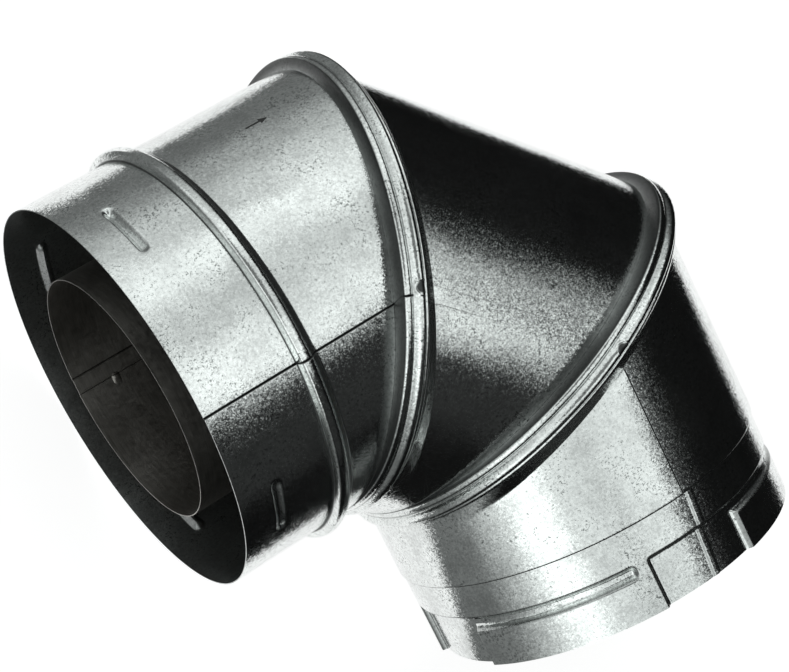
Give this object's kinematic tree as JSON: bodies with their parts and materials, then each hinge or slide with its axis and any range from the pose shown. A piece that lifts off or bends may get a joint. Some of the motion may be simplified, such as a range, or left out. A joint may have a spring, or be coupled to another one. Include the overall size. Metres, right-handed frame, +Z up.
{
  "type": "double wall stove pipe elbow",
  "caption": "Adjustable right-angle double-wall vent elbow: galvanised outer gores with swivel bead joints round a flue liner, twist-lock socket and collar.",
  "frame": {"origin": "on the surface that the elbow lies on, under the middle of its box", "axes": "+Z up, away from that surface; the inlet opens towards -X and the outlet towards -Y, both within eight degrees"},
  "size_m": [0.3124, 0.3244, 0.2297],
  "materials": {
    "casing": "spangled galvanised sheet, semi-bright",
    "flue": "dull dark sheet",
    "clip": "plain sheet strip"
  },
  "bodies": {
    "inlet": {"outer_inlet_gore": "casing", "liner_inlet_gore": "flue", "inlet_spacer_1": "clip", "inlet_spacer_2": "clip", "inlet_spacer_3": "clip", "inlet_spacer_4": "clip"},
    "middle": {"outer_middle_gore": "casing", "liner_middle_gore": "flue"},
    "outlet": {"outer_outlet_gore": "casing", "twist_lock_collar": "casing", "liner_outlet_gore": "flue", "outlet_spacer_1": "clip", "outlet_spacer_2": "clip", "outlet_spacer_3": "clip", "outlet_spacer_4": "clip"}
  },
  "joints": [
    {"name": "inlet_swivel", "type": "hinge", "parent": "inlet", "child": "middle", "pos_m": [-0.02885, 0.05519, 0.11461], "axis": [0.9227, -0.3801, 0.0651], "continuous": true},
    {"name": "outlet_swivel", "type": "hinge", "parent": "middle", "child": "outlet", "pos_m": [0.05023, -0.02282, 0.11481], "axis": [0.3928, -0.9176, -0.0618], "continuous": true}
  ]
}
